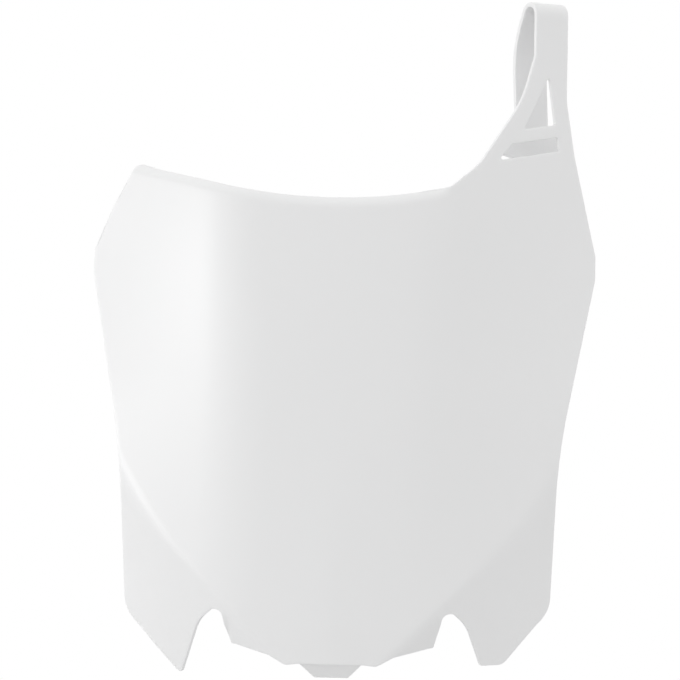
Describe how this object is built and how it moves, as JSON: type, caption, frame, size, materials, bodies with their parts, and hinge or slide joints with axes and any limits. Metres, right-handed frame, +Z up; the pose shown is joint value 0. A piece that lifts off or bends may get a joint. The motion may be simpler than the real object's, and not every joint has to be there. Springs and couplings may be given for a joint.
{
  "type": "motocross front number board",
  "caption": "Thin moulded board with turned-back side panels, lower flaps and a looped mounting strap; hangs on a handlebar and shows a rider's number.",
  "frame": {"origin": "middle of the lower end of the tongue; only the left flap's lower corner lies lower, by under 2 mm", "axes": "+Z up, along the board's height; +Y back, towards the bike, so that the face looks along -Y; +X to the right of a viewer who looks at the face, the side that carries the strap"},
  "size_m": [0.2588, 0.0636, 0.3432],
  "materials": {
    "white_plastic": "satin to gloss, smooth moulded white"
  },
  "bodies": {
    "root": {"number_board": "white_plastic"}
  },
  "joints": []
}
